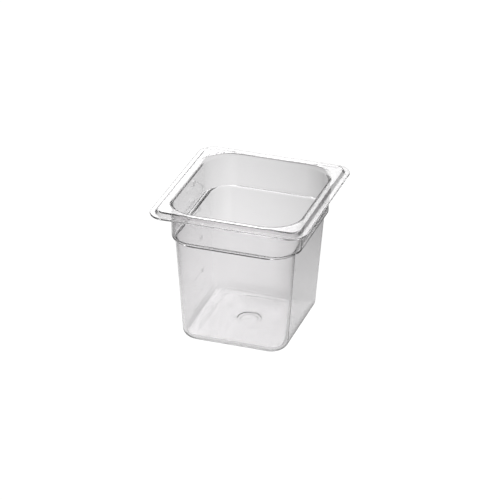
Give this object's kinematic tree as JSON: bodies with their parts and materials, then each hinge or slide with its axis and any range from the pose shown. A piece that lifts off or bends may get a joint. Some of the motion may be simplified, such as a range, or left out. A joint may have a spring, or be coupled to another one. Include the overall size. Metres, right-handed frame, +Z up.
{
  "type": "food pan",
  "caption": "Clear rectangular plastic food pan with a raised rim and hanging lip, a nesting shoulder, a tapered tub and moulded fill marks.",
  "frame": {"origin": "middle of the base, on the plane that the pan stands on", "axes": "+Z up out of the mouth, +Y along the pan's long side, fill marks on the -X wall"},
  "size_m": [0.162, 0.176, 0.15],
  "materials": {
    "clear_polycarbonate": "clear, glossy, with faint scuffs on the base and rim"
  },
  "bodies": {
    "root": {"pan": "clear_polycarbonate"}
  },
  "joints": []
}
